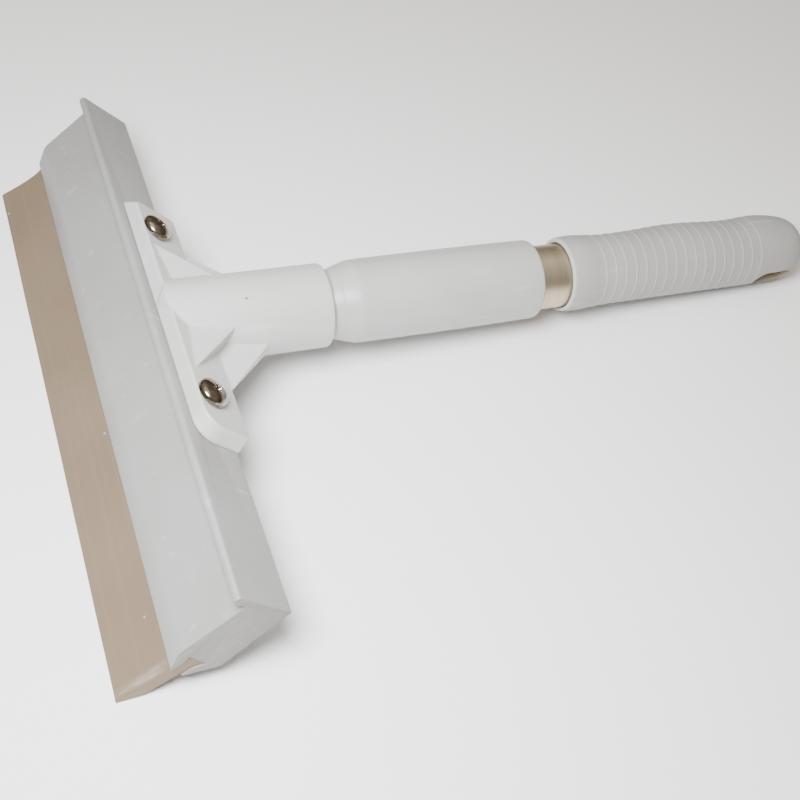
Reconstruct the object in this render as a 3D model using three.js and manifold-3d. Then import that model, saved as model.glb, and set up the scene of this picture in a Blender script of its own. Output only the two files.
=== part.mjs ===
// Window cleaning squeegee: a bar with a dovetail slot holds a thick silicone blade, an angled
// bracket is screwed to the bar's back, and a short handle screws into the bracket's socket.
//
// Millimetres, +Z up. The tool lies as it does on a table: the blade's free edge and the grip's
// underside touch Z = 0, X runs along the bar, +Y runs from the bar toward the grip's end.
//
// Two working frames are used inside the root group.
//   head frame:   X along the bar, Y across its back face, Z out of its back face (Z = 0 there)
//   handle frame: Y along the handle's axis, Z on the handle's upper side, X along the bar

import * as THREE from 'three';
import { mergeVertices } from 'three/addons/utils/BufferGeometryUtils.js';
import { ConvexGeometry } from 'three/addons/geometries/ConvexGeometry.js';
import Module from 'manifold-3d';

const wasm = await Module();
wasm.setup();

// ---------------------------------------------------------------- driving dimensions

const gap = 0.3; // between pieces that touch
const deg = Math.PI / 180;

// bar that holds the blade
const barLength = 243;
const barHalfWidth = 11.3; // half the width of the flat back face
const lipThickness = 3.0; // flange that overhangs the front face
const frontFaceTop = -5.6; // Y of the front face under the lip
const frontFace = -8.3; // Y of the front face at its lower corner
const rearFace = 10.8; // Y of the rear face at its lower end
const frontDepth = 28.5; // depth of the front face's lower corner below the back face
const rearDepth = 30.8;
const edgeRadius = 1.4;

// blade and its slot, in a section that leans toward the front face
const bladeLength = 242;
const bladeLean = 11.5 * deg;
const rootY = 0.5; // middle of the root's top
const rootDepth = 30.4; // depth of the root's top below the back face
const rootHalfWidth = 4.05;
const rootHeight = 3.6; // the dovetail narrows to the blade's thickness over this height
const bladeHalf = 2.35; // half the blade's thickness at the jaws
const bladeReach = 28.9; // root's top to the free edge
const bevelReach = 21.4; // root's top to where the rear bevel starts
const jawReach = 7.9; // root's top to the tips of the bar's jaws

// bracket: a foot plate with two screws, and a socket that stands beside the plate's middle
const bracketOffset = 3.2; // plate's middle from the bar's middle
const plateHalfLength = 55; // at its top; its ends slope out
const nearDraft = 2;
const farDraft = 6;
const plateThickness = 5.9;
const plateFront = -7.5;
const nearCorner = 8; // rounding of the plate's front corner at +X
const farCorner = 2;
const screwSpacing = 82.6;
const screwY = -2.0;
const screwHeadRadius = 5.7;
const screwHeadHeight = 3.8;
const screwShankRadius = 2.3;
const screwLength = 25;
const socketOffset = -3.2; // handle's axis from the plate's middle

// handle axis and the stations along it, measured from where it crosses the bar's back face
const axisY = 7.3;
const handleRise = 40.4 * deg; // between the handle's axis and the bar's back face
const socketRadius = 15.65;
const socketBase = 10;
const socketEnd = 51.0;
const ringEnd = 55.4;
const neckRadius = 12.2; // the cone's radius at the socket's mouth
const coneEnd = 62.0;
const sleeveRadius = 15.8;
const sleeveTaper = 0.25;
const sleeveShoulder = 60.2; // inner face that bears on the tip's collar
const sleeveEnd = 137.2;
const tubeRadius = 12.7;
const tubeWall = 1.2;
const tubeEnd = 238;
const collarLength = 3; // the tip's collar, which the tube's end bears on
const pinStation = 80; // cross pin through the tube and the tip's plug
const pinRadius = 2;

// screw thread between the handle's tip and the socket: 3/4 inch, five turns to the inch
const threadPitch = 5.08;
const threadMajor = 9.4;
const threadMinor = 6.9;
const threadTurns = 4.25;
const threadRootWidth = 3.2;
const threadCrestWidth = 1.9;
const threadClearance = 0.3;
const threadStart = 27.8;
const boreStart = 24.8;

// grip, with its radii between the ribs
const gripStart = 150.0;
const gripLength = 116.4;
const gripMouth = 13.6;
const gripSwell = 15.0; // behind the mouth
const gripWaist = 13.65; // under the forefinger
const gripBelly = 14.2; // in the palm
const gripSlim = 13.7; // under the little finger
const gripHeel = 14.4; // before the domed end
const ribCount = 17;
const ribFirst = 165.1;
const ribPitch = 4.71;
const ribHeight = 0.35;
const holeStart = 243; // hang hole, a slot through the grip's closed end
const holeEnd = 260;
const holeHalfWidth = 4;
const holeTurn = -22 * deg; // the slot's direction, turned about the handle's axis from X

// ---------------------------------------------------------------- solids

/** The signed volume of an indexed triangle mesh. */
function signedVolume(positions, index) {
  const a = new THREE.Vector3();
  const b = new THREE.Vector3();
  const c = new THREE.Vector3();
  let total = 0;
  for (let i = 0; i < index.length; i += 3) {
    a.fromArray(positions, 3 * index[i]);
    b.fromArray(positions, 3 * index[i + 1]);
    c.fromArray(positions, 3 * index[i + 2]);
    total += a.dot(b.cross(c)) / 6;
  }
  return total;
}

/** A closed geometry as a Manifold, with coincident vertices merged and faces pointing out. */
function solid(geometry) {
  const bare = new THREE.BufferGeometry();
  bare.setAttribute('position', geometry.attributes.position.clone());
  bare.setIndex(geometry.index ? geometry.index.clone() : null);
  const merged = mergeVertices(bare, 1e-4);
  const source = merged.index.array;
  const kept = [];
  for (let i = 0; i < source.length; i += 3) {
    const [a, b, c] = [source[i], source[i + 1], source[i + 2]];
    if (a !== b && b !== c && c !== a) kept.push(a, b, c);
  }
  const positions = merged.attributes.position.array;
  if (signedVolume(positions, kept) < 0) kept.reverse();
  return new wasm.Manifold(new wasm.Mesh({
    numProp: 3,
    vertProperties: new Float32Array(positions),
    triVerts: new Uint32Array(kept),
  }));
}

/** A Manifold as a geometry with flat facets kept crisp. */
function geometryOf(manifold) {
  const mesh = manifold.getMesh();
  const geometry = new THREE.BufferGeometry();
  geometry.setAttribute('position', new THREE.BufferAttribute(new Float32Array(mesh.vertProperties), 3));
  geometry.setIndex(new THREE.BufferAttribute(new Uint32Array(mesh.triVerts), 1));
  geometry.computeVertexNormals();
  return geometry;
}

/** A solid of revolution about the handle's axis. Each profile point is [station, radius]. */
function turned(profile, segments = 48) {
  const points = profile.map(([station, radius]) => new THREE.Vector2(radius, station));
  if (profile[0][1] > 0) points.push(points[0].clone());
  return new THREE.LatheGeometry(points, segments);
}

/** A solid of revolution about the head frame's Z. Each profile point is [height, radius]. */
function turnedUpright(profile, segments) {
  return turned(profile, segments).rotateX(Math.PI / 2);
}

/** A section given as [y, z] points, extruded along X and centred. */
function extrudedAlongX(section, length) {
  const shape = new THREE.Shape(section.map(([y, z]) => new THREE.Vector2(y, z)));
  const geometry = new THREE.ExtrudeGeometry(shape, { depth: length, bevelEnabled: false });
  geometry.translate(0, 0, -length / 2);
  const axes = new THREE.Matrix4().makeBasis(
    new THREE.Vector3(0, 1, 0), new THREE.Vector3(0, 0, 1), new THREE.Vector3(1, 0, 0));
  return geometry.applyMatrix4(axes);
}

/** Points of an arc about [y, z], from one angle to another. */
function arc(y, z, radius, from, to, steps = 4) {
  return Array.from({ length: steps + 1 }, (_, i) => {
    const angle = from + (to - from) * i / steps;
    return [y + radius * Math.cos(angle), z + radius * Math.sin(angle)];
  });
}

/** A box between two corners. */
function box(low, high) {
  const size = high.map((value, i) => value - low[i]);
  const geometry = new THREE.BoxGeometry(...size);
  return geometry.translate(...low.map((value, i) => value + size[i] / 2));
}

/** Moves a geometry from the handle frame into the bracket's frame. */
function fromHandleFrame(geometry) {
  return geometry.rotateX(handleRise).translate(socketOffset, axisY, 0);
}

/** A point of the handle frame, in the bracket's frame. */
function handlePoint(x, station, height) {
  const point = new THREE.Vector3(x, station, height);
  point.applyAxisAngle(new THREE.Vector3(1, 0, 0), handleRise);
  return point.add(new THREE.Vector3(socketOffset, axisY, 0));
}

/** A point of the blade's leaning section: across it, and down from the root's top. */
function leaning(across, down) {
  return [
    rootY + across * Math.cos(bladeLean) - down * Math.sin(bladeLean),
    -rootDepth - across * Math.sin(bladeLean) - down * Math.cos(bladeLean),
  ];
}

/** A right-handed trapezoidal ridge about the handle's axis, between two turns of the thread. */
function helicalRidge(section, fromTurn, toTurn) {
  const perTurn = 32;
  const first = Math.round(fromTurn * perTurn);
  const steps = Math.round(toTurn * perTurn) - first;
  const { rootRadius, crestRadius, rootWidth, crestWidth } = section;
  const corners = [
    [rootRadius, -rootWidth / 2], [crestRadius, -crestWidth / 2],
    [crestRadius, crestWidth / 2], [rootRadius, rootWidth / 2],
  ];
  const positions = [];
  const index = [];
  for (let i = 0; i <= steps; i += 1) {
    const turn = (first + i) / perTurn;
    const angle = 2 * Math.PI * turn;
    for (const [radius, offset] of corners) {
      const station = threadStart + threadPitch * turn + offset;
      positions.push(radius * Math.sin(angle), station, radius * Math.cos(angle));
    }
    if (i === steps) break;
    for (let j = 0; j < 4; j += 1) {
      const a = 4 * i + j;
      const b = 4 * i + (j + 1) % 4;
      index.push(a, b, a + 4, b, b + 4, a + 4);
    }
  }
  const last = 4 * steps;
  index.push(0, 2, 1, 0, 3, 2, last, last + 1, last + 2, last, last + 2, last + 3);
  const geometry = new THREE.BufferGeometry();
  geometry.setAttribute('position', new THREE.Float32BufferAttribute(positions, 3));
  geometry.setIndex(index);
  return geometry;
}

// ---------------------------------------------------------------- the head

function bladeSection() {
  return [
    leaning(-rootHalfWidth, 0),
    leaning(rootHalfWidth, 0),
    leaning(bladeHalf, rootHeight),
    leaning(bladeHalf - 0.35, bevelReach),
    leaning(-bladeHalf - 0.05, bladeReach - 0.2),
    leaning(-bladeHalf - 0.35, bladeReach - 0.5),
    leaning(-bladeHalf, rootHeight),
  ];
}

function barSection() {
  const lipCentre = -barHalfWidth + lipThickness / 2;
  return [
    [barHalfWidth, -0.8],
    [barHalfWidth - 0.8, 0],
    ...arc(lipCentre, -lipThickness / 2, lipThickness / 2, 90 * deg, 270 * deg, 8),
    [frontFaceTop - 0.6, -lipThickness],
    [frontFaceTop - 0.05, -lipThickness - 0.6],
    ...arc(frontFace + edgeRadius, -frontDepth + edgeRadius, edgeRadius, 180 * deg, 215 * deg, 3),
    leaning(-4.5, jawReach - 2.2),
    leaning(-4.1, jawReach - 0.4),
    leaning(-bladeHalf - gap, jawReach),
    leaning(-bladeHalf - gap, rootHeight),
    leaning(-rootHalfWidth - gap, -gap),
    leaning(rootHalfWidth + gap, -gap),
    leaning(bladeHalf + gap, rootHeight),
    leaning(bladeHalf + gap, jawReach),
    leaning(3.4, jawReach - 0.4),
    [rearFace - 0.8, -rearDepth],
    [rearFace, -rearDepth + 0.9],
  ];
}

function makeBar() {
  let bar = solid(extrudedAlongX(barSection(), barLength));
  for (const side of [-1, 1]) {
    const hole = turnedUpright([[-20, 0], [-20, screwShankRadius + gap], [1, screwShankRadius + gap], [1, 0]], 24);
    bar = bar.subtract(solid(hole.translate(bracketOffset + side * screwSpacing / 2, screwY, 0)));
  }
  return geometryOf(bar);
}

function makeBlade() {
  return extrudedAlongX(bladeSection(), bladeLength);
}

// ---------------------------------------------------------------- the bracket

/** One level of the foot plate's outline: its front corners are rounded. */
function plateLevel(nearEnd, farEnd, z) {
  const corner = (x, radius, from, to) => arc(x, plateFront + radius, radius, from, to, 8);
  return [
    [nearEnd, barHalfWidth],
    [farEnd, barHalfWidth],
    ...corner(farEnd + farCorner, farCorner, 180 * deg, 270 * deg),
    ...corner(nearEnd - nearCorner, nearCorner, 270 * deg, 360 * deg),
  ].map(([x, y]) => new THREE.Vector3(x, y, z));
}

/** The foot plate, whose ends slope and whose rear edge is flush with the bar's. */
function footPlate() {
  return new ConvexGeometry([
    ...plateLevel(plateHalfLength + nearDraft, -plateHalfLength - farDraft, gap),
    ...plateLevel(plateHalfLength, -plateHalfLength, gap + plateThickness),
  ]);
}

/** The socket's barrel. Over the plate it runs down to the plate; behind the bar it ends square. */
function socketBarrel() {
  const far = 60;
  const flush = 0.04; // keeps the cuts clear of the plate's own faces
  const barrel = solid(fromHandleFrame(turned([
    [-14, 0], [-14, socketRadius], [socketEnd - 0.9, socketRadius],
    [socketEnd - 0.25, socketRadius - 0.25], [socketEnd, socketRadius - 0.9], [socketEnd, 0],
  ], 64)));
  const barSpace = solid(box([-far, -far, -far], [far, barHalfWidth + gap, gap + flush]));
  const frontSpace = solid(box([-far, -far, -far], [far, plateFront + flush, far]));
  const aboveBar = solid(box([-far, -far, -far], [far, barHalfWidth + flush, far]));
  const lowEnd = solid(fromHandleFrame(box([-far, -far, -far], [far, socketBase, far]))).subtract(aboveBar);
  return barrel.subtract(barSpace).subtract(frontSpace).subtract(lowEnd);
}

/** Where the barrel runs out over the plate's front edge: a tongue that ends at the plate's foot. */
function tongue() {
  const back = plateFront + 1.5;
  const halfWidth = 6;
  const crownHalfWidth = 3.2;
  const sunk = 0.1; // under the barrel's surface
  const footHeight = gap + 0.5;
  const onBarrel = (x, y) => {
    const across = Math.sqrt(socketRadius ** 2 - x ** 2) - sunk;
    const height = (across + (y - axisY) * Math.sin(handleRise)) / Math.cos(handleRise);
    return new THREE.Vector3(socketOffset + x, y, height);
  };
  const foot = (y) => new THREE.Vector3(socketOffset, y, footHeight);
  const crown = [[0, -1.4], [crownHalfWidth, -1.2], [-crownHalfWidth, -1.2], [halfWidth, 0.1], [-halfWidth, 0.1]];
  return new ConvexGeometry([
    ...crown.map(([x, y]) => onBarrel(x, plateFront + y)),
    ...[-halfWidth, 0, halfWidth].map((x) => onBarrel(x, back)),
    foot(plateFront - 0.4), foot(back),
  ]);
}

/** One side's pair of gussets, which leave a pocket for the screw between them. */
function gussets(side) {
  const top = gap + plateThickness;
  const onPlate = (x, y, z = top) => new THREE.Vector3(side * x + socketOffset / 3, y, z);
  const onSocket = (x, station, height) => handlePoint(side * x, station, height);
  const inner = onPlate(11.9, -1.6);
  const frontFoot = onPlate(31.6, -5.3);
  const frontTop = onSocket(13.5, 13.7, 8.4);
  const pocketCorner = onPlate(17, 10.5, top + 0.05);
  const rearFoot = onPlate(34.4, barHalfWidth - 0.07, top + 0.05);
  const rearTop = onSocket(15.9, 25.9, -0.3);
  const rearBack = onSocket(14, 26, -7);
  const beyond = (from, to, share) => from.clone().lerp(to, share);
  const apex = beyond(frontFoot, frontTop, 1.15);
  const frontBase = [frontFoot, beyond(frontFoot, inner, 1.4), beyond(frontFoot, pocketCorner, 1.3)];
  const front = [apex, ...frontBase.map((point) => beyond(apex, point, 1.12))];
  const rearLow = gap + 0.1;
  const rear = [
    rearFoot, rearFoot.clone().setZ(rearLow), onPlate(12, barHalfWidth - 0.07, rearLow),
    beyond(rearFoot, pocketCorner, 1.3), beyond(rearFoot, rearTop, 1.2), beyond(rearFoot, rearBack, 1.2),
  ];
  return solid(new ConvexGeometry(front)).add(solid(new ConvexGeometry(rear)));
}

/** The socket's threaded bore, as the solid that is cut out of it. */
function threadedBore() {
  const core = threadMinor + threadClearance;
  const bore = solid(turned([
    [boreStart, 0], [boreStart, core], [socketEnd - 2.4, core],
    [socketEnd + 0.2, threadMajor + threadClearance + 0.6], [socketEnd + 2, threadMajor + threadClearance + 0.6],
    [socketEnd + 2, 0],
  ], 32));
  const groove = helicalRidge({
    rootRadius: core - 0.8,
    crestRadius: threadMajor + threadClearance,
    rootWidth: threadRootWidth + 2 * threadClearance,
    crestWidth: threadCrestWidth + 2 * threadClearance,
  }, -0.25, (socketEnd + 2 - threadStart) / threadPitch);
  return bore.add(solid(groove));
}

function makeBracket() {
  let bracket = solid(footPlate()).add(socketBarrel()).add(solid(tongue()));
  for (const side of [-1, 1]) {
    bracket = bracket.add(gussets(side));
    const hole = turnedUpright([[-1, 0], [-1, 3.1], [20, 3.1], [20, 0]], 24);
    bracket = bracket.subtract(solid(hole.translate(side * screwSpacing / 2, screwY, 0)));
  }
  const bore = fromHandleFrame(geometryOf(threadedBore()));
  return geometryOf(bracket.subtract(solid(bore)));
}

/** Pan-head screw standing on Z = 0, with a cross recess and a pointed shank. */
function makeScrew() {
  const rim = 1.3;
  const dome = (share) => [
    rim + (screwHeadHeight - rim) * Math.sin(share * Math.PI / 2),
    screwHeadRadius * Math.cos(share * Math.PI / 2),
  ];
  let screw = solid(turnedUpright([
    [-screwLength, 0], [-screwLength + 4, screwShankRadius], [0, screwShankRadius], [0, screwHeadRadius - 0.2],
    [0.2, screwHeadRadius], dome(0), dome(0.2), dome(0.4), dome(0.6), dome(0.8), [screwHeadHeight, 0],
  ], 32));
  for (const turn of [0, Math.PI / 2]) {
    const slot = new ConvexGeometry([
      ...[-2.9, 2.9].flatMap((x) => [-0.7, 0.7].map((y) => new THREE.Vector3(x, y, screwHeadHeight + 1))),
      ...[-1.1, 1.1].flatMap((x) => [-0.4, 0.4].map((y) => new THREE.Vector3(x, y, screwHeadHeight - 2.3))),
    ]);
    screw = screw.subtract(solid(slot.rotateZ(turn + 20 * deg)));
  }
  return geometryOf(screw);
}

// ---------------------------------------------------------------- the handle

/** The radius of the cone that runs over the seat ring and the sleeve's front. */
function coneRadius(station) {
  return THREE.MathUtils.mapLinear(station, socketEnd, coneEnd, neckRadius, sleeveRadius);
}

/** Loose ring between the socket's mouth and the sleeve, the start of the handle's cone. */
function makeSeatRing() {
  const start = socketEnd + gap;
  return geometryOf(solid(turned([
    [start, threadMajor + gap], [ringEnd, threadMajor + gap],
    [ringEnd, coneRadius(ringEnd)], [start, coneRadius(start)],
  ])));
}

/** Moulded tip: threaded spigot, plain neck, collar, and a plug inside the tube. */
function makeThreadedTip() {
  const collarStart = sleeveShoulder + gap;
  const collarEnd = collarStart + collarLength;
  const plug = tubeRadius - tubeWall - gap;
  const lead = 1.6;
  const body = solid(turned([
    [threadStart - 1, 0], [threadStart - 1, threadMinor - lead], [threadStart + lead, threadMinor],
    [socketEnd - 1.2, threadMinor], [socketEnd + 0.6, threadMajor], [collarStart, threadMajor],
    [collarStart, tubeRadius - 0.3], [collarEnd, tubeRadius - 0.3], [collarEnd, plug],
    [collarEnd + 34, plug], [collarEnd + 36, plug - 2], [collarEnd + 36, 0],
  ]));
  const ridge = solid(helicalRidge({
    rootRadius: threadMinor - 0.8,
    crestRadius: threadMajor,
    rootWidth: threadRootWidth,
    crestWidth: threadCrestWidth,
  }, 0, threadTurns));
  const leadIn = solid(turned([
    [threadStart - 3, 0], [threadStart - 3, threadMinor - lead], [threadStart + 2.6, threadMajor],
    [socketEnd, threadMajor], [socketEnd, 0],
  ], 32));
  return geometryOf(body.add(ridge.intersect(leadIn)).subtract(solid(pinHole())));
}

function crossPin(radius, halfLength, segments) {
  const pin = new THREE.CylinderGeometry(radius, radius, 2 * halfLength, segments);
  return pin.rotateZ(Math.PI / 2).translate(0, pinStation, 0);
}

function pinHole() {
  return crossPin(pinRadius + gap, 20, 20);
}

/** Cross pin that locks the tip's plug in the tube, hidden by the sleeve. */
function makeTipPin() {
  return crossPin(pinRadius, tubeRadius - 0.15, 20);
}

function makeTube() {
  const start = sleeveShoulder + collarLength + 2 * gap;
  const inner = tubeRadius - tubeWall;
  const tube = solid(turned([[start, inner], [tubeEnd, inner], [tubeEnd, tubeRadius], [start, tubeRadius]], 64));
  return geometryOf(tube.subtract(solid(pinHole())));
}

/** White sleeve over the joint of tip and tube, with a cone at the socket's side. */
function makeSleeve() {
  const front = ringEnd + gap;
  const bore = tubeRadius + gap;
  const round = 1.5;
  const rounded = arc(sleeveEnd - round, sleeveRadius - sleeveTaper - round, round, 90 * deg, 0, 4);
  return geometryOf(solid(turned([
    [front, threadMajor + gap], [front, coneRadius(front)],
    [coneEnd - 0.8, coneRadius(coneEnd - 0.8) - 0.05], [coneEnd + 0.6, sleeveRadius - 0.05],
    ...rounded, [sleeveEnd, bore], [sleeveShoulder, bore], [sleeveShoulder, threadMajor + gap],
  ], 64)));
}

/** The grip's outline without ribs, from the mouth to the domed end, as [station, radius]. */
function bareGrip() {
  const domeShare = 0.805;
  const at = (share, radius) => new THREE.Vector2(gripStart + share * gripLength, radius);
  const body = new THREE.SplineCurve([
    at(0.008, gripMouth + 0.75), at(0.03, gripSwell - 0.15), at(0.07, gripSwell), at(0.14, gripWaist + 0.85),
    at(0.25, gripWaist), at(0.46, gripBelly), at(0.68, gripSlim), at(0.775, gripHeel - 0.05), at(domeShare, gripHeel),
  ]);
  const domeStart = gripStart + domeShare * gripLength;
  const domeLength = (1 - domeShare) * gripLength;
  const squareness = 3.1;
  const dome = [0.3, 0.5, 0.65, 0.78, 0.88, 0.95, 0.985, 1].map((share) => [
    domeStart + share * domeLength,
    gripHeel * (1 - share ** squareness) ** (1 / squareness),
  ]);
  return [[gripStart, gripMouth], ...body.getPoints(28).map(({ x, y }) => [x, y]), ...dome];
}

const outline = bareGrip();

/** The bare outline's radius at a station. */
function gripRadius(station) {
  const next = outline.findIndex(([at]) => at > station);
  const [a, ra] = outline[next - 1];
  const [b, rb] = outline[next];
  return THREE.MathUtils.mapLinear(station, a, b, ra, rb);
}

/** The outline with its ribs. */
function ribbedOutline() {
  const last = ribFirst + (ribCount - 1) * ribPitch;
  const before = outline.filter(([station]) => station < ribFirst - 1);
  const after = outline.filter(([station]) => station > last + 1);
  const ribs = Array.from({ length: ribCount }, (_, i) => ribFirst + i * ribPitch).flatMap((station) => [
    [station - 0.8, gripRadius(station - 0.8)],
    [station - 0.35, gripRadius(station) + ribHeight],
    [station + 0.35, gripRadius(station) + ribHeight],
    [station + 0.8, gripRadius(station + 0.8)],
  ]);
  return [...before, ...ribs, ...after];
}

function makeGrip() {
  const bore = tubeRadius + gap;
  const blank = solid(turned([[gripStart, 0], ...ribbedOutline()], 40));
  const core = solid(turned([
    [gripStart - 1, 0], [gripStart - 1, bore + 0.9], [gripStart, bore + 0.8], [gripStart + 2.5, bore],
    [tubeEnd + gap, bore], [tubeEnd + gap, 0],
  ], 48));
  const slot = new THREE.Shape();
  slot.absarc(0, holeEnd - holeHalfWidth, holeHalfWidth, 0, Math.PI);
  slot.absarc(0, holeStart + holeHalfWidth, holeHalfWidth, Math.PI, 2 * Math.PI);
  const through = new THREE.ExtrudeGeometry(slot, { depth: 60, bevelEnabled: false, curveSegments: 8 });
  through.translate(0, 0, -30).rotateY(Math.PI / 2 - holeTurn);
  return geometryOf(blank.subtract(core).subtract(solid(through)));
}

// ---------------------------------------------------------------- resting pose

/** The bar's tilt about X at which the blade's edge and the grip both touch the table. */
function restTilt() {
  const edge = leaning(-bladeHalf - 0.05, bladeReach - 0.2);
  const angles = ribbedOutline().map(([station, radius]) => {
    const under = handlePoint(0, station, -radius);
    return Math.atan2(under.z - edge[1], under.y - edge[0]);
  });
  return Math.min(...angles);
}

// ---------------------------------------------------------------- materials and assembly

const whitePlastic = { roughness: 0.45, metalness: 0 };

function material(color, { roughness, metalness }) {
  return new THREE.MeshStandardMaterial({ color, roughness, metalness });
}

function named(name, geometry, surface) {
  const mesh = new THREE.Mesh(geometry, surface);
  mesh.name = name;
  return mesh;
}

const head = new THREE.Group();
head.add(named('bar', makeBar(), material(0xcfcfcc, whitePlastic)));
head.add(named('blade', makeBlade(), material(0xb8a48c, { roughness: 0.6, metalness: 0 })));
for (const [name, side] of [['screw_near', 1], ['screw_far', -1]]) {
  const screw = named(name, makeScrew(), material(0x9b958c, { roughness: 0.22, metalness: 1 }));
  screw.position.set(bracketOffset + side * screwSpacing / 2, screwY, 2 * gap + plateThickness);
  head.add(screw);
}

const bracket = new THREE.Group();
bracket.position.x = bracketOffset;
bracket.add(named('bracket', makeBracket(), material(0xd6d6d3, whitePlastic)));

const handle = new THREE.Group();
handle.position.set(socketOffset, axisY, 0);
handle.rotation.x = handleRise;
handle.add(named('seat_ring', makeSeatRing(), material(0xdcdcda, whitePlastic)));
handle.add(named('threaded_tip', makeThreadedTip(), material(0xd6d6d3, whitePlastic)));
handle.add(named('tip_pin', makeTipPin(), material(0x9b958c, { roughness: 0.35, metalness: 1 })));
handle.add(named('sleeve', makeSleeve(), material(0xd2d1ce, whitePlastic)));
handle.add(named('tube', makeTube(), material(0xc9bfae, { roughness: 0.28, metalness: 1 })));
handle.add(named('grip', makeGrip(), material(0xc2c1bc, { roughness: 0.6, metalness: 0 })));
bracket.add(handle);
head.add(bracket);

const tilt = restTilt();
const edge = leaning(-bladeHalf - 0.05, bladeReach - 0.2);
const edgeY = edge[0] * Math.cos(tilt) + edge[1] * Math.sin(tilt);
const edgeZ = -edge[0] * Math.sin(tilt) + edge[1] * Math.cos(tilt);

const squeegee = new THREE.Group();
head.rotation.x = -tilt;
head.position.z = -edgeZ;
squeegee.add(head);

// The origin is under the middle of the tool's bounding box.
squeegee.updateMatrixWorld(true);
const bounds = new THREE.Box3().setFromObject(squeegee, true);
head.position.y = -(bounds.min.y + bounds.max.y) / 2;
squeegee.updateMatrixWorld(true);

export default squeegee;
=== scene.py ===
import math

import bpy
from mathutils import Matrix, Vector, noise


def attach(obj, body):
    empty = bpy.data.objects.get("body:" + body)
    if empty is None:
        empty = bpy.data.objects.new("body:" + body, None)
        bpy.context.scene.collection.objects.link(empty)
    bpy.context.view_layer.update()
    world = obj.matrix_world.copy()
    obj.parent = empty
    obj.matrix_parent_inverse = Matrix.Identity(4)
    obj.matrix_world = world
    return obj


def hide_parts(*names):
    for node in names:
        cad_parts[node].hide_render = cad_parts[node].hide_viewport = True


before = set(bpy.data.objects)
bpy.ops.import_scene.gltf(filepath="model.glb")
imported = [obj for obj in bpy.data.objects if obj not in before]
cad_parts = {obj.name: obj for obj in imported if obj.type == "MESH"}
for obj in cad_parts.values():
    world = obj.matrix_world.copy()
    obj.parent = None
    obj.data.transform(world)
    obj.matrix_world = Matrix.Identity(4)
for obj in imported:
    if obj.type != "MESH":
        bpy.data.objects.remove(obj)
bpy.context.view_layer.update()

# Looks of the window cleaning squeegee. Lengths below are millimetres and become metres in place().
#
#   head frame:   X along the bar, Y across its back face, Z out of its back face
#   handle frame: Y along the handle from where its axis crosses the back face, Z on its upper side

MM = 0.001
GAP = 0.3

HEAD_AT = Vector((0, -112.547, 36.274))
HEAD_TILT = math.radians(-44.2735)
AXIS_AT = Vector((0, 7.3, 0))
HANDLE_RISE = math.radians(40.4)

# bar and blade
BAR_LENGTH = 243
BAR_HALF = 11.3
LIP = 3.0
FRONT_TOP = -5.6
FRONT_LOW = Vector((-8.3, -28.5))
REAR_LOW = Vector((10.8, -30.8))
BLADE_LENGTH = 242
BLADE_LEAN = math.radians(11.5)
ROOT_AT = Vector((0.5, -30.4))
ROOT_HALF = 4.05
ROOT_HEIGHT = 3.6
BLADE_HALF = 2.35
JAW_REACH = 7.9
BEVEL_REACH = 21.4
BLADE_REACH = 28.9
BOW = 1.2  # how far the blade's far end has taken a set toward the rear
BOW_REACH = 15

# screws
SCREW_SPACING = 82.6
SCREW_MIDDLE = Vector((3.2, -2.0, 6.5))
SCREW_RADIUS = 5.7
SCREW_HEIGHT = 3.8
SHANK_RADIUS = 2.3
SCREW_LENGTH = 25

# handle
SOCKET_RADIUS = 15.65
SOCKET_END = 51.0
RING_END = 55.4
NECK_RADIUS = 12.2
CONE_END = 62.0
SLEEVE_RADIUS = 15.8
SLEEVE_SHOULDER = 60.2
SLEEVE_END = 137.2
THREAD_RADIUS = 9.4
TUBE_RADIUS = 12.7
TUBE_WALL = 1.2
TUBE_START = 63.8
TUBE_END = 238

# grip
GRIP_START = 150.0
GRIP_END = 266.4
GRIP_RADIUS = 14.0
DOME_START = 244.2
DOME_SQUARENESS = 3.9
FINGER_SIDE = math.radians(-52)  # the contoured side, turned about the handle's axis from its upper side
RIB_COUNT = 17
RIB_FIRST = 165.1
RIB_PITCH = 4.71
RIB_HEIGHT = 0.16
RIB_HALF = 0.42
HOLE_START = 243
HOLE_END = 260
HOLE_HALF = 4
HOLE_TURN = math.radians(-22)

PARTING = math.radians(60)  # the grip's parting line, turned about the handle's axis
GATE_X = 6.1  # the bracket's gate mark, on the socket
GATE_STATION = 19.2

BRACKET_TONES = (0.52, 0.52, 0.515), (0.49, 0.485, 0.47)
SLEEVE_TONES = (0.43, 0.43, 0.423), (0.40, 0.392, 0.38)

# camera, placed in the head's frame
CAMERA_AT = Vector((286.588, -245.226, 174.220))
CAMERA_TARGET = Vector((53.350, 51.988, 42.830))
CAMERA_ROLL = math.radians(9.66)
LENS = 52.1
SENSOR = 36

# ------------------------------------------------------------------ frames


def to_metres(millimetres):
    return Matrix.Translation(Vector(millimetres) * MM)


HEAD = to_metres(HEAD_AT) @ Matrix.Rotation(HEAD_TILT, 4, "X")
HANDLE = HEAD @ to_metres(AXIS_AT) @ Matrix.Rotation(HANDLE_RISE, 4, "X")


def leaning(across, down):
    """A point of the blade's leaning section: across it, and down from the root's top."""
    sine, cosine = math.sin(BLADE_LEAN), math.cos(BLADE_LEAN)
    return ROOT_AT + Vector((across * cosine - down * sine, -across * sine - down * cosine))


# ------------------------------------------------------------------ meshes


def place(name, points, faces, where):
    """An object from points in millimetres, in the frame that says where it goes."""
    mesh = bpy.data.meshes.new(name)
    mesh.from_pydata([where @ (Vector(point) * MM) for point in points], [], faces)
    return linked(name, mesh)


def linked(name, data):
    made = bpy.data.objects.new(name, data)
    bpy.context.scene.collection.objects.link(made)
    return made


def smooth(piece, sharp_above=38):
    piece.data.shade_smooth()
    piece.data.set_sharp_from_angle(angle=math.radians(sharp_above))
    return piece


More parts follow.
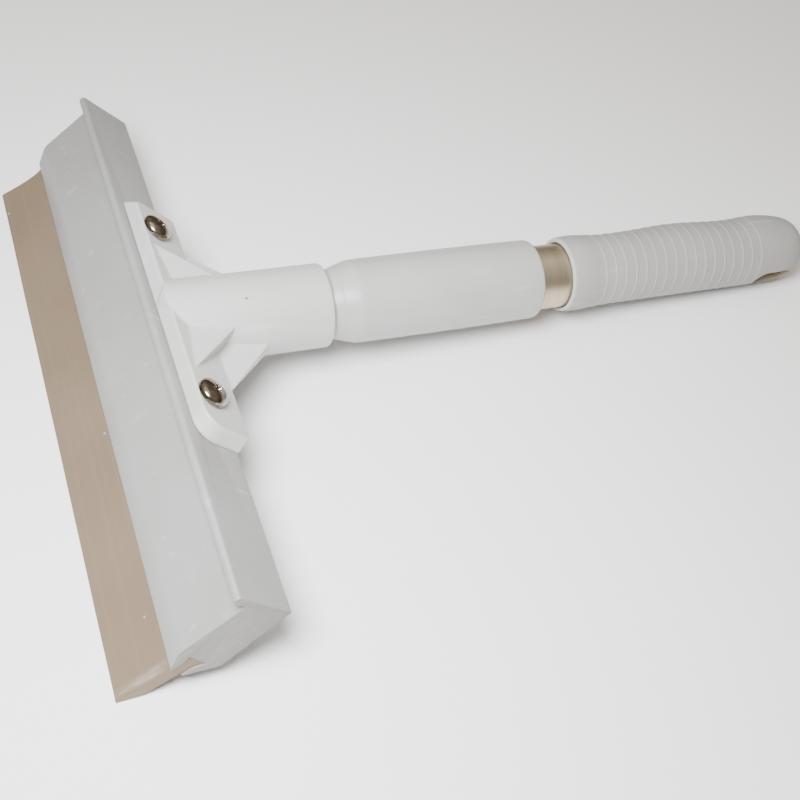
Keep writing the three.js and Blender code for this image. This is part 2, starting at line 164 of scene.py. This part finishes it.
def baked(piece):
    """Replaces a piece's mesh by what its modifiers make of it."""
    bpy.context.view_layer.update()
    graph = bpy.context.evaluated_depsgraph_get()
    mesh = bpy.data.meshes.new_from_object(piece.evaluated_get(graph))
    piece.modifiers.clear()
    piece.data = mesh
    return piece


def cut(piece, cutter):
    boolean = piece.modifiers.new("cut", "BOOLEAN")
    boolean.operation = "DIFFERENCE"
    boolean.solver = "EXACT"
    boolean.object = cutter
    baked(piece)
    bpy.data.objects.remove(cutter)
    return piece


def softened(piece, cell, passes):
    """Remeshes a solid and rounds its edges and inner corners, as a moulding's are."""
    remesh = piece.modifiers.new("remesh", "REMESH")
    remesh.mode = "VOXEL"
    remesh.voxel_size = cell * MM
    rounding = piece.modifiers.new("rounding", "SMOOTH")
    rounding.factor = 0.5
    rounding.iterations = passes
    baked(piece)
    piece.data.shade_smooth()
    return piece


def eased(corners, steps=4):
    """An outline whose corners (a, b, size) are each rounded over their size."""
    outline = []
    for i, (a, b, size) in enumerate(corners):
        corner = Vector((a, b))
        before = Vector(corners[i - 1][:2])
        after = Vector(corners[(i + 1) % len(corners)][:2])
        start = corner + (before - corner).normalized() * size
        end = corner + (after - corner).normalized() * size
        for step in range(steps + 1 if size else 1):
            share = step / steps
            outline.append(start * (1 - share) ** 2 + corner * 2 * share * (1 - share) + end * share**2)
    return outline


def divided(outline, spacing):
    """A closed outline with points added so that none are further apart than the spacing."""
    points = []
    for i, point in enumerate(outline):
        following = outline[(i + 1) % len(outline)]
        count = max(1, math.ceil((following - point).length / spacing))
        points += [point.lerp(following, step / count) for step in range(count)]
    return points


def tube_of(rings, closed_ends=True):
    """Points and faces of a skin over rings that have the same number of points."""
    count = len(rings[0])
    points = [point for ring in rings for point in ring]
    faces = []
    for i in range(len(rings) - 1):
        for j in range(count):
            a, b = i * count + j, i * count + (j + 1) % count
            faces.append((a, a + count, b + count, b))
    if closed_ends:
        faces.append(tuple(range(count)))
        faces.append(tuple(reversed(range(len(points) - count, len(points)))))
    return points, faces


def turned(name, outline, segments=160, where=HANDLE):
    """A hollow solid of revolution about the frame's Y, from a closed outline of (station, radius)."""
    rings = []
    for i in range(segments):
        angle = 2 * math.pi * i / segments
        rings.append([(r * math.sin(angle), s, r * math.cos(angle)) for s, r in outline])
    points, faces = tube_of(rings + rings[:1], closed_ends=False)
    wrap = len(points) - len(outline)
    faces = [tuple(v - wrap if v >= wrap else v for v in face) for face in faces]
    return place(name, points[:wrap], faces, where)


def made_outward(piece):
    """Turns every face of a closed piece outward."""
    bpy.context.view_layer.objects.active = piece
    piece.select_set(True)
    bpy.ops.object.mode_set(mode="EDIT")
    bpy.ops.mesh.select_all(action="SELECT")
    bpy.ops.mesh.normals_make_consistent(inside=False)
    bpy.ops.object.mode_set(mode="OBJECT")
    piece.select_set(False)
    return piece


def bevelled(piece, width, above=55):
    bevel = piece.modifiers.new("bevel", "BEVEL")
    bevel.width = width * MM
    bevel.segments = 2
    bevel.limit_method = "ANGLE"
    bevel.angle_limit = math.radians(above)
    return baked(piece)


# ------------------------------------------------------------------ the head


def make_bar():
    rounding = LIP / 2 - 0.04
    slot_half = BLADE_HALF + GAP
    root_half = ROOT_HALF + GAP
    outline = eased([
        (BAR_HALF, 0, 0.5),
        (-BAR_HALF, 0, rounding),
        (-BAR_HALF, -LIP, rounding),
        (FRONT_TOP, -LIP, 1.5),
        (*FRONT_LOW, 1.6),
        (*leaning(-4.2, JAW_REACH - 0.9), 0.4),
        (*leaning(-slot_half, JAW_REACH), 0.3),
        (*leaning(-slot_half, ROOT_HEIGHT), 0.3),
        (*leaning(-root_half, -GAP), 0.3),
        (*leaning(root_half, -GAP), 0.3),
        (*leaning(slot_half, ROOT_HEIGHT), 0.3),
        (*leaning(slot_half, JAW_REACH), 0.3),
        (*leaning(3.4, JAW_REACH - 0.4), 0.5),
        (*REAR_LOW, 0.8),
    ], steps=5)
    ends = (-BAR_LENGTH / 2, BAR_LENGTH / 2)
    rings = [[(x, y, z) for y, z in outline] for x in ends]
    bar = made_outward(place("bar_extrusion", *tube_of(rings), HEAD))
    for side in (-1, 1):
        hole = [[(r * math.cos(a), r * math.sin(a), z) for a in circle_angles(24)]
                for z, r in ((-20, SHANK_RADIUS + GAP), (2, SHANK_RADIUS + GAP))]
        middle = to_metres((SCREW_MIDDLE.x + side * SCREW_SPACING / 2, SCREW_MIDDLE.y, 0))
        cut(bar, made_outward(place("hole", *tube_of(hole), HEAD @ middle)))
    return smooth(bevelled(bar, 0.14, above=70), 32)


def circle_angles(count):
    return [2 * math.pi * i / count for i in range(count)]


def blade_bow(x, down):
    """How far the blade is bent toward the rear, at a place along it and a depth."""
    share = min(1, max(0, (down - JAW_REACH) / (BLADE_REACH - JAW_REACH)))
    hump = 2.6 * math.sqrt(share) * (1 - share)
    set_in = math.exp(-(x + BLADE_LENGTH / 2) / BOW_REACH)
    wave = 0.18 * noise.noise(Vector((x / 37, 0, 5)))
    return hump * BOW * set_in + wave * share


def make_blade():
    outline = divided(eased([
        (-ROOT_HALF, 0, 0.4),
        (ROOT_HALF, 0, 0.4),
        (BLADE_HALF, ROOT_HEIGHT, 0.5),
        (BLADE_HALF - 0.35, BEVEL_REACH, 1.2),
        (-BLADE_HALF - 0.05, BLADE_REACH - 0.1, 0.25),
        (-BLADE_HALF - 0.35, BLADE_REACH - 0.5, 0.25),
        (-BLADE_HALF, ROOT_HEIGHT, 0.5),
    ]), 1.1)
    count = 120
    end_round = (0.02, 0.12, 0.35)
    half = BLADE_LENGTH / 2
    inner = [-half + 0.4 + (BLADE_LENGTH - 0.8) * i / count for i in range(count + 1)]
    spots = [-half + e for e in end_round] + inner + [half - e for e in reversed(end_round)]
    rings = []
    for x in spots:
        shrink = max(0.0, 0.35 - (half - abs(x))) * 0.5
        ring = []
        for across, down in outline:
            inset = 1 - shrink / ROOT_HALF
            y, z = leaning(across * inset + blade_bow(x, down), down)
            ring.append((x, y, z))
        rings.append(ring)
    return smooth(made_outward(place("blade_strip", *tube_of(rings), HEAD)), 50)


def make_bracket():
    """The moulding: the plain solid with its edges rounded, seated on the bar."""
    bracket = linked("bracket_moulding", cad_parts["bracket"].data.copy())
    softened(bracket, cell=0.4, passes=5)
    to_head = HEAD.inverted()
    outward = HEAD.to_3x3() @ Vector((0, 0, 1))
    for vertex in bracket.data.vertices:
        height = (to_head @ vertex.co).z / MM
        seated = max(0, 1 - abs(height - GAP) / 0.8)
        vertex.co -= outward * (GAP - 0.02) * min(1, 2 * seated) * MM
    return bracket


def make_screw(name, side):
    rim = 1.3
    steps = 14
    dome = []
    for i in range(steps + 1):
        angle = math.pi / 2 * i / steps
        dome.append((rim + (SCREW_HEIGHT - rim) * math.sin(angle), SCREW_RADIUS * math.cos(angle)))
    profile = [
        (-SCREW_LENGTH, 0.1), (-SCREW_LENGTH + 4, SHANK_RADIUS), (0, SHANK_RADIUS),
        (0, SCREW_RADIUS - 0.25), (0.25, SCREW_RADIUS), *dome[:-1], (SCREW_HEIGHT, 0.02),
    ]
    rings = [[(r * math.cos(a), r * math.sin(a), z) for a in circle_angles(72)] for z, r in profile]
    at = SCREW_MIDDLE + Vector((side * SCREW_SPACING / 2, 0, 0))
    screw = made_outward(place(name, *tube_of(rings), HEAD @ to_metres(at)))
    for turn in (20, 110):
        wing = [(2.95, 0.62, SCREW_HEIGHT + 1), (1.1, 0.38, SCREW_HEIGHT - 2.3)]
        rings = [[(sx * x, sy * y, z) for sx, sy in ((1, 1), (-1, 1), (-1, -1), (1, -1))] for x, y, z in wing]
        spin = Matrix.Rotation(math.radians(turn), 4, "Z")
        cut(screw, made_outward(place("wing", *tube_of(rings), HEAD @ to_metres(at) @ spin)))
    return softened(screw, cell=0.12, passes=3)


# ------------------------------------------------------------------ the handle


def cone_radius(station):
    """The radius of the cone that runs over the seat ring and the sleeve's front."""
    share = (station - SOCKET_END) / (CONE_END - SOCKET_END)
    return NECK_RADIUS + (SLEEVE_RADIUS - NECK_RADIUS) * share


def make_seat_ring():
    start = SOCKET_END + 0.03
    end = RING_END + GAP - 0.03
    bore = THREAD_RADIUS + GAP
    outline = eased([
        (start, bore, 0.2), (end, bore, 0.2), (end, cone_radius(end), 0.05), (start, cone_radius(start), 0.3),
    ])
    return smooth(made_outward(turned("neck_ring", outline)))


def make_sleeve():
    start = RING_END + GAP
    bore = TUBE_RADIUS + GAP
    neck_bore = THREAD_RADIUS + GAP
    outline = eased([
        (start, neck_bore, 0.3),
        (start, cone_radius(start), 0.05),
        (CONE_END - 0.2, SLEEVE_RADIUS - 0.2, 1.4),
        (86, SLEEVE_RADIUS, 12),
        (118, SLEEVE_RADIUS - 0.05, 12),
        (SLEEVE_END - 0.3, SLEEVE_RADIUS - 0.3, 1.2),
        (SLEEVE_END, SLEEVE_RADIUS - 1.5, 0.3),
        (SLEEVE_END, bore, 0.4),
        (SLEEVE_SHOULDER, bore, 0.2),
        (SLEEVE_SHOULDER, neck_bore, 0.2),
    ])
    return smooth(made_outward(turned("joint_sleeve", outline)))


def make_tube():
    inner = TUBE_RADIUS - TUBE_WALL
    outline = eased([
        (TUBE_START, inner, 0.3), (TUBE_END, inner, 0.3),
        (TUBE_END, TUBE_RADIUS, 0.3), (TUBE_START, TUBE_RADIUS, 0.3),
    ])
    return smooth(made_outward(turned("metal_tube", outline)))


def bump(station, middle, reach):
    return math.exp(-((station - middle) / reach) ** 2)


def rib(station):
    """Height of the ribs at a station: narrow rounded rings."""
    nearest = round((station - RIB_FIRST) / RIB_PITCH)
    if not 0 <= nearest < RIB_COUNT:
        return 0
    return RIB_HEIGHT * bump(station, RIB_FIRST + nearest * RIB_PITCH, RIB_HALF)


def grip_radius(station, angle):
    """The grip's radius: nearly straight on the palm's side, contoured on the fingers' side."""
    side = (0.5 + 0.5 * math.cos(angle - FINGER_SIDE)) ** 1.3
    fingers = (0.45 * bump(station, 159, 13) + 1.3 * bump(station, 205, 19) + 1.0 * bump(station, 246, 9))
    radius = GRIP_RADIUS + 0.85 * bump(station, 156, 8) + side * fingers
    dome = max(0, (station - DOME_START) / (GRIP_END - DOME_START))
    return (radius + rib(station)) * max(0, 1 - dome**DOME_SQUARENESS) ** (1 / DOME_SQUARENESS)


def grip_rings(segments):
    """Rings of (radius, station) from the bore's closed end, out over the rim, to the domed tip."""
    bore = TUBE_RADIUS + GAP
    inside = [(TUBE_END + GAP, 0.05), (TUBE_END + GAP, bore), (GRIP_START + 2, bore),
              (GRIP_START + 0.5, bore + 0.1), (GRIP_START + 0.12, bore + 0.3), (GRIP_START, bore + 0.6)]
    rings = [[(station, radius)] * segments for station, radius in inside]
    angles = circle_angles(segments)
    lead = 1.4
    for step in range(1, 7):
        turn = math.pi / 2 * step / 6
        station = GRIP_START + lead * (1 - math.cos(turn))
        rings.append([
            (station, bore + 0.6 + (grip_radius(GRIP_START + lead, a) - bore - 0.6) * math.sin(turn))
            for a in angles
        ])
    spacing = 0.26
    first = GRIP_START + lead
    count = round((DOME_START - first) / spacing)
    stations = [first + (DOME_START - first) * i / count for i in range(1, count + 1)]
    dome_steps = 44
    reach = GRIP_END - DOME_START
    stations += [DOME_START + reach * math.sin(math.pi / 2 * i / dome_steps) for i in range(1, dome_steps)]
    rings += [[(station, grip_radius(station, a)) for a in angles] for station in stations]
    rings.append([(GRIP_END, 0.05)] * segments)
    return rings


def make_grip():
    segments = 144
    angles = circle_angles(segments)
    rings = [
        [(r * math.sin(a), s, r * math.cos(a)) for a, (s, r) in zip(angles, ring)]
        for ring in grip_rings(segments)
    ]
    grip = made_outward(place("hand_grip", *tube_of(rings), HANDLE))
    cut(grip, hang_hole())
    return smooth(grip, 50)


def hang_hole():
    """The hang hole as a solid: a slot whose two mouths flare out."""
    rings = []
    for i in range(-20, 21):
        depth = i
        flare = 1.5 * max(0, (abs(depth) - 9) / 6) ** 2
        half = HOLE_HALF + flare
        straight = (HOLE_END - HOLE_START) / 2 - HOLE_HALF
        ring = []
        for angle in circle_angles(48):
            along = half * math.sin(angle) + math.copysign(straight, math.sin(angle))
            ring.append((depth, (HOLE_START + HOLE_END) / 2 + along, half * math.cos(angle)))
        rings.append(ring)
    turn = Matrix.Rotation(-HOLE_TURN, 4, "Y")
    return made_outward(place("hang_slot", *tube_of(rings), HANDLE @ turn))


# ------------------------------------------------------------------ materials


class Surface:
    """Short calls for one material's nodes. Texture positions are metres along the given axes."""

    def __init__(self, name, axes=None):
        self.material = bpy.data.materials.new(name)
        self.material.use_nodes = True
        self.tree = self.material.node_tree
        self.shader = self.tree.nodes["Principled BSDF"]
        self.spot = self.add("ShaderNodeTexCoord", {"object": axes}).outputs["Object"]

    def add(self, kind, settings=None, **inputs):
        node = self.tree.nodes.new(kind)
        for key, value in (settings or {}).items():
            setattr(node, key, value)
        for key, value in inputs.items():
            self.put(node, key, value)
        return node

    def put(self, node, key, value):
        socket = node.inputs[int(key[1:])] if key[0] == "_" else node.inputs[key]
        if isinstance(value, bpy.types.NodeSocket):
            self.tree.links.new(value, socket)
        else:
            socket.default_value = value

    def stretched(self, x, y, z):
        """The position, scaled on each axis."""
        return self.add("ShaderNodeMapping", Vector=self.spot, Scale=(x, y, z)).outputs[0]

    def noise(self, scale, detail=3, spot=None, roughness=0.55):
        node = self.add("ShaderNodeTexNoise", Vector=spot or self.spot, Scale=scale, Detail=detail,
                        Roughness=roughness)
        return node.outputs["Fac"]

    def specks(self, scale, size, share):
        """Small round spots in a share of the cells of a grid."""
        cells = self.add("ShaderNodeTexVoronoi", Vector=self.spot, Scale=scale)
        near = self.between(cells.outputs["Distance"], size, size * 0.5)
        picked = self.add("ShaderNodeSeparateColor", Color=cells.outputs["Color"]).outputs[0]
        return self.times(near, self.between(picked, 1 - share, 1 - share + 0.01))

    def between(self, value, low, high, to_low=0.0, to_high=1.0):
        """The value remapped smoothly, held at both ends."""
        node = self.add("ShaderNodeMapRange", {"interpolation_type": "SMOOTHSTEP"}, Value=value)
        for key, number in (("From Min", low), ("From Max", high), ("To Min", to_low), ("To Max", to_high)):
            node.inputs[key].default_value = number
        return node.outputs[0]

    def maths(self, operation, a, b=0.0):
        return self.add("ShaderNodeMath", {"operation": operation}, _0=a, _1=b).outputs[0]

    def times(self, a, b):
        return self.maths("MULTIPLY", a, b)

    def plus(self, a, b):
        return self.maths("ADD", a, b)

    def mix(self, share, a, b, blend="MIX"):
        node = self.add("ShaderNodeMix", {"data_type": "RGBA", "blend_type": blend})
        self.put(node, "_0", share)
        for key, colour in (("_6", a), ("_7", b)):
            self.put(node, key, colour if isinstance(colour, bpy.types.NodeSocket) else (*colour, 1))
        return node.outputs[2]

    def axis(self, name):
        return self.add("ShaderNodeSeparateXYZ", Vector=self.spot).outputs[name]

    def facing(self, name):
        """How much the surface faces along one of the piece's own axes, from 0 to 1."""
        normal = self.add("ShaderNodeTexCoord").outputs["Normal"]
        part = self.add("ShaderNodeSeparateXYZ", Vector=normal).outputs[name]
        return self.maths("ABSOLUTE", part)

    def bumps(self, *heights):
        """Stacks (height, strength, millimetres) bumps on the surface."""
        normal = None
        for height, strength, depth in heights:
            node = self.add("ShaderNodeBump", Height=height, Strength=strength, Distance=depth * MM)
            if normal:
                self.put(node, "Normal", normal)
            normal = node.outputs[0]
        self.put(self.shader, "Normal", normal)

    def finish(self, colour, roughness, metallic=0.0, specular=0.5):
        self.put(self.shader, "Base Color", colour)
        self.put(self.shader, "Roughness", roughness)
        self.shader.inputs["Metallic"].default_value = metallic
        self.shader.inputs["Specular IOR Level"].default_value = specular
        return self.material


def plastic(name, axes, colour, shade, roughness, grain=0.3):
    """Moulded or extruded plastic: clouded colour, faint rubbed scratches, dust, fine grain."""
    s = Surface(name, axes)
    clouds = s.between(s.noise(26, 4), 0.35, 0.7)
    rubbed = s.between(s.noise(240, 2, s.stretched(1, 0.12, 0.5)), 0.62, 0.74)
    dust = s.specks(260, 0.10, 0.05)
    tone = s.mix(clouds, colour, shade)
    tone = s.mix(s.times(s.noise(900, 2), 0.10), tone, shade)
    tone = s.mix(s.times(rubbed, 0.10), tone, (0.95, 0.95, 0.94))
    tone = s.mix(s.times(dust, 0.25), tone, (0.42, 0.38, 0.33))
    rough = s.plus(s.times(s.noise(420, 3), 0.16), roughness - 0.08)
    s.bumps((s.noise(2400, 2), grain, 0.05), (s.noise(130, 2), 0.25, 0.12), (rubbed, 0.12, 0.02))
    return s, tone, rough


def bar_material(axes):
    s, tone, rough = plastic("bar_abs", axes, (0.30, 0.30, 0.298), (0.277, 0.272, 0.262), 0.46)
    drawn = s.noise(1, 3, s.stretched(4, 900, 900))
    sawn = s.noise(1, 4, s.stretched(1, 2600, 160))
    end = s.between(s.facing("X"), 0.7, 0.9)
    tone = s.mix(s.times(s.between(drawn, 0.45, 0.75), 0.14), tone, (0.33, 0.32, 0.305))
    # Painted shade: the end faces take a tone darker than the sides, with real saw streaks in it.
    saw_streaks_and_painted_shade = s.mix(s.between(sawn, 0.35, 0.65), (0.235, 0.231, 0.219), (0.285, 0.28, 0.268))
    tone = s.mix(end, tone, saw_streaks_and_painted_shade)
    rough = s.plus(rough, s.times(end, 0.25))
    s.bumps((s.noise(2400, 2), 0.25, 0.04), (drawn, 0.12, 0.03), (s.times(sawn, end), 0.2, 0.08))
    return s.finish(tone, rough, specular=0.45)


def blade_material(axes):
    s = Surface("blade_silicone", axes)
    clouds = s.between(s.noise(20, 5), 0.3, 0.7)
    tone = s.mix(clouds, (0.182, 0.137, 0.094), (0.160, 0.118, 0.080))
    tone = s.mix(s.times(s.noise(700, 3), 0.18), tone, (0.165, 0.124, 0.084))
    drawn = s.noise(1, 3, s.stretched(5, 700, 700))
    tone = s.mix(s.times(s.between(drawn, 0.5, 0.75), 0.12), tone, (0.29, 0.215, 0.155))
    specks = s.specks(150, 0.08, 0.16)
    tone = s.mix(s.times(specks, 0.6), tone, (0.60, 0.57, 0.52))
    end_at = BLADE_LENGTH / 2
    near_end = s.times(s.between(s.axis("X"), (end_at - 5) * MM, (end_at - 2.5) * MM),
                       s.between(s.axis("X"), (end_at - 0.3) * MM, (end_at - 1.8) * MM))
    scuff = s.times(near_end, s.between(s.noise(300, 4, s.stretched(1, 0.25, 0.25)), 0.35, 0.65))
    tone = s.mix(s.times(scuff, 0.5), tone, (0.42, 0.38, 0.33))
    end = s.between(s.facing("X"), 0.7, 0.95)
    tone = s.mix(s.times(end, 0.5), tone, (0.33, 0.25, 0.18))
    rough = s.plus(s.times(s.noise(300, 3), 0.2), 0.55)
    s.bumps((s.noise(1800, 3), 0.3, 0.05), (drawn, 0.15, 0.03), (specks, 0.4, 0.05))
    return s.finish(tone, rough, specular=0.2)


def grip_material(axes):
    s, tone, rough = plastic("grip_vinyl", axes, (0.355, 0.35, 0.338), (0.325, 0.315, 0.298), 0.52, grain=0.4)
    along = s.axis("Y")
    turns = s.maths("DIVIDE", s.maths("SUBTRACT", along, RIB_FIRST * MM), RIB_PITCH * MM)
    off = s.maths("ABSOLUTE", s.maths("SUBTRACT", turns, s.maths("ROUND", turns)))
    last = RIB_FIRST + (RIB_COUNT - 0.5) * RIB_PITCH
    ribbed = s.times(s.between(along, (RIB_FIRST - 2.6) * MM, (RIB_FIRST - 1.6) * MM),
                     s.between(along, (last + 0.6) * MM, last * MM))
    # Painted highlight: the rib crests are made lighter, as where light catches them.
    painted_crest_highlight = s.times(s.between(off, 0.14, 0.06), ribbed)
    tone = s.mix(s.times(painted_crest_highlight, 0.3), tone, (0.48, 0.48, 0.48))
    across = s.add("ShaderNodeVectorMath", {"operation": "DOT_PRODUCT"}, _0=s.spot,
                   _1=(math.cos(PARTING), 0, -math.sin(PARTING))).outputs["Value"]
    seam = s.between(s.maths("ABSOLUTE", across), 0.00022, 0.00008)
    seam = s.times(seam, s.between(along, 0.2, 0.15))
    tone = s.mix(s.times(seam, 0.3), tone, (0.40, 0.39, 0.37))
    # Painted highlight: a lighter band around the rounded rim of the grip's mouth.
    rim = s.between(along, (GRIP_START + 1.6) * MM, (GRIP_START + 0.4) * MM)
    tone = s.mix(s.times(rim, 0.5), tone, (0.50, 0.51, 0.52))
    # Painted shade: the hang hole's walls are darkened to a warm brown, for the shade and a warm reflection
    # inside the hole.
    beside = s.add("ShaderNodeVectorMath", {"operation": "DOT_PRODUCT"}, _0=s.spot,
                   _1=(-math.sin(HOLE_TURN), 0, math.cos(HOLE_TURN))).outputs["Value"]
    sideways = s.between(s.maths("ABSOLUTE", beside), (HOLE_HALF + 1.4) * MM, (HOLE_HALF + 0.2) * MM)
    lengthways = s.times(s.between(along, (HOLE_START - 1.2) * MM, HOLE_START * MM),
                         s.between(along, (HOLE_END + 1.4) * MM, (HOLE_END + 0.2) * MM))
    hole_painted_shade = s.times(sideways, lengthways)
    tone = s.mix(s.times(hole_painted_shade, 0.85), tone, (0.36, 0.30, 0.21))
    s.bumps((s.noise(1900, 3), 0.4, 0.06), (s.noise(110, 2), 0.3, 0.15), (seam, 0.5, 0.08))
    return s.finish(tone, rough, specular=0.35)


def screw_material(axes):
    s = Surface("screw_stainless", axes)
    # Painted reflections: the dark brown base and the gold patches stand in for a dark, warm room mirrored in
    # the steel.
    tone = s.mix(s.between(s.noise(420, 3), 0.35, 0.65), (0.34, 0.29, 0.23), (0.20, 0.165, 0.13))
    tone = s.mix(s.times(s.between(s.noise(900, 4), 0.55, 0.7), 0.4), tone, (0.50, 0.39, 0.22))
    rough = s.plus(s.times(s.noise(1500, 3), 0.14), 0.1)
    turning = s.noise(1, 2, s.stretched(900, 900, 3000))
    s.bumps((s.noise(380, 3), 0.35, 0.08), (turning, 0.08, 0.02))
    return s.finish(tone, rough, metallic=1.0)


def tube_material(axes):
    s = Surface("tube_brushed", axes)
    brushed = s.noise(1, 4, s.stretched(60, 6000, 60), 0.7)
    broad = s.noise(1, 2, s.stretched(30, 500, 30))
    tone = s.mix(s.between(brushed, 0.3, 0.7), (0.62, 0.53, 0.39), (0.51, 0.435, 0.315))
    tone = s.mix(s.times(s.between(broad, 0.4, 0.7), 0.3), tone, (0.70, 0.61, 0.46))
    smudge = s.between(s.noise(90, 4), 0.5, 0.7)
    tone = s.mix(s.times(smudge, 0.15), tone, (0.50, 0.43, 0.33))
    rough = s.plus(s.times(brushed, 0.14), s.times(smudge, 0.06))
    rough = s.plus(rough, 0.32)
    s.bumps((brushed, 0.25, 0.03), (broad, 0.05, 0.03))
    return s.finish(tone, rough, metallic=1.0)


def white_material(name, axes, colour, shade):
    s, tone, rough = plastic(name, axes, colour, shade, 0.38)
    return s.finish(tone, rough, specular=0.5)


def bracket_material(axes):
    """The bracket's white, with the pit and the scuffed ring left by its gate; the pit's near-black colour is
    painted shade.
    """
    s, tone, rough = plastic("bracket_moulded", axes, *BRACKET_TONES, 0.38)
    gate = Vector((GATE_X, GATE_STATION, math.sqrt(SOCKET_RADIUS**2 - GATE_X**2))) * MM
    apart = s.add("ShaderNodeVectorMath", {"operation": "DISTANCE"}, _0=s.spot, _1=gate).outputs["Value"]
    pit = s.between(apart, 0.00062, 0.00036)
    ring = s.times(s.between(apart, 0.0011, 0.0015), s.between(apart, 0.0021, 0.0017))
    # Painted shade: the gate's pit is coloured near black.
    tone = s.mix(s.times(pit, 0.9), tone, (0.08, 0.075, 0.07))
    s.bumps((s.noise(2400, 2), 0.3, 0.05), (s.noise(130, 2), 0.25, 0.12), (pit, -0.8, 0.3), (ring, 0.3, 0.05))
    return s.finish(tone, rough, specular=0.5)


def floor_material():
    s = Surface("floor_paper")
    tone = s.mix(s.noise(3, 3), (0.95, 0.95, 0.95), (0.93, 0.93, 0.93))
    s.bumps((s.noise(900, 3), 0.1, 0.05))
    return s.finish(tone, s.plus(s.times(s.noise(40, 2), 0.1), 0.7), specular=0.2)


# ------------------------------------------------------------------ pieces in place


def axes_on(body, where):
    """The frame that a material's texture follows, moving with a body."""
    axes = linked("axes_" + body, None)
    axes.matrix_world = where
    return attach(axes, body)


def show(piece, material, body, node):
    piece.data.materials.clear()
    piece.data.materials.append(material)
    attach(piece, body)
    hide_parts(node)


def repaint(node, material):
    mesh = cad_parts[node].data
    mesh.materials.clear()
    mesh.materials.append(material)


head_axes = axes_on("head", HEAD)
socket_axes = axes_on("head", HANDLE)
ring_axes = axes_on("ring", HANDLE)
handle_axes = axes_on("handle", HANDLE)
steel = screw_material(head_axes)

show(make_bar(), bar_material(head_axes), "head", "bar")
show(make_blade(), blade_material(axes_on("blade", HEAD)), "blade", "blade")
show(make_bracket(), bracket_material(socket_axes), "head", "bracket")
show(make_screw("pan_screw_near", 1), steel, "head", "screw_near")
show(make_screw("pan_screw_far", -1), steel, "head", "screw_far")
ring_white = white_material("ring_moulded", ring_axes, *SLEEVE_TONES)
sleeve_white = white_material("sleeve_moulded", handle_axes, *SLEEVE_TONES)
show(make_seat_ring(), ring_white, "ring", "seat_ring")
show(make_sleeve(), sleeve_white, "handle", "sleeve")
show(make_tube(), tube_material(handle_axes), "handle", "tube")
show(make_grip(), grip_material(handle_axes), "handle", "grip")
repaint("threaded_tip", white_material("tip_moulded", handle_axes, *BRACKET_TONES))
repaint("tip_pin", steel)

# ------------------------------------------------------------------ floor, light, camera


def make_floor():
    half = 4000
    floor = place("floor", [(-half, -half, 0), (half, -half, 0), (half, half, 0), (-half, half, 0)],
                  [(0, 1, 2, 3)], Matrix.Identity(4))
    floor.data.materials.append(floor_material())


def look(at, target, roll=0.0):
    """A placement at a point, looking at a target, with its top turned by the roll."""
    away = (at - target).normalized()
    turn = away.to_track_quat("Z", "Y").to_matrix().to_4x4()
    return Matrix.Translation(at) @ turn @ Matrix.Rotation(roll, 4, "Z")


def softbox(name, at, target, size, watts, colour):
    light = bpy.data.lights.new(name, "AREA")
    light.shape = "DISK"
    light.size = size
    light.energy = watts
    light.color = colour
    lamp = linked(name, light)
    lamp.matrix_world = look(Vector(at), Vector(target))


def sky():
    """A warm room that is dim at the horizon and bright overhead."""
    world = bpy.data.worlds.new("studio")
    world.use_nodes = True
    tree = world.node_tree
    direction = tree.nodes.new("ShaderNodeTexCoord").outputs["Generated"]
    parts = tree.nodes.new("ShaderNodeSeparateXYZ")
    tree.links.new(direction, parts.inputs[0])
    ramp = tree.nodes.new("ShaderNodeValToRGB")
    ramp.color_ramp.elements[0].position = 0.1
    ramp.color_ramp.elements[0].color = (0.22, 0.185, 0.15, 1)
    ramp.color_ramp.elements[1].position = 0.9
    ramp.color_ramp.elements[1].color = (1.0, 0.93, 0.84, 1)
    tree.links.new(parts.outputs["Z"], ramp.inputs[0])
    tree.links.new(ramp.outputs[0], tree.nodes["Background"].inputs["Color"])
    tree.nodes["Background"].inputs["Strength"].default_value = 0.6
    bpy.context.scene.world = world


def light_room():
    sky()
    softbox("key", (0.165, -0.205, 0.365), (0.0, -0.06, 0.02), 0.20, 5.4, (0.97, 0.985, 1.0))
    softbox("overhead", (-0.2, 0.2, 1.5), (0, 0, 0), 1.2, 4, (1.0, 0.93, 0.86))


def set_camera():
    camera_data = bpy.data.cameras.new("camera")
    camera_data.lens = LENS
    camera_data.sensor_width = SENSOR
    camera_data.clip_start = 0.01
    camera = linked("camera", camera_data)
    camera.matrix_world = look(HEAD @ (CAMERA_AT * MM), HEAD @ (CAMERA_TARGET * MM), CAMERA_ROLL)
    bpy.context.scene.camera = camera


make_floor()
light_room()
set_camera()
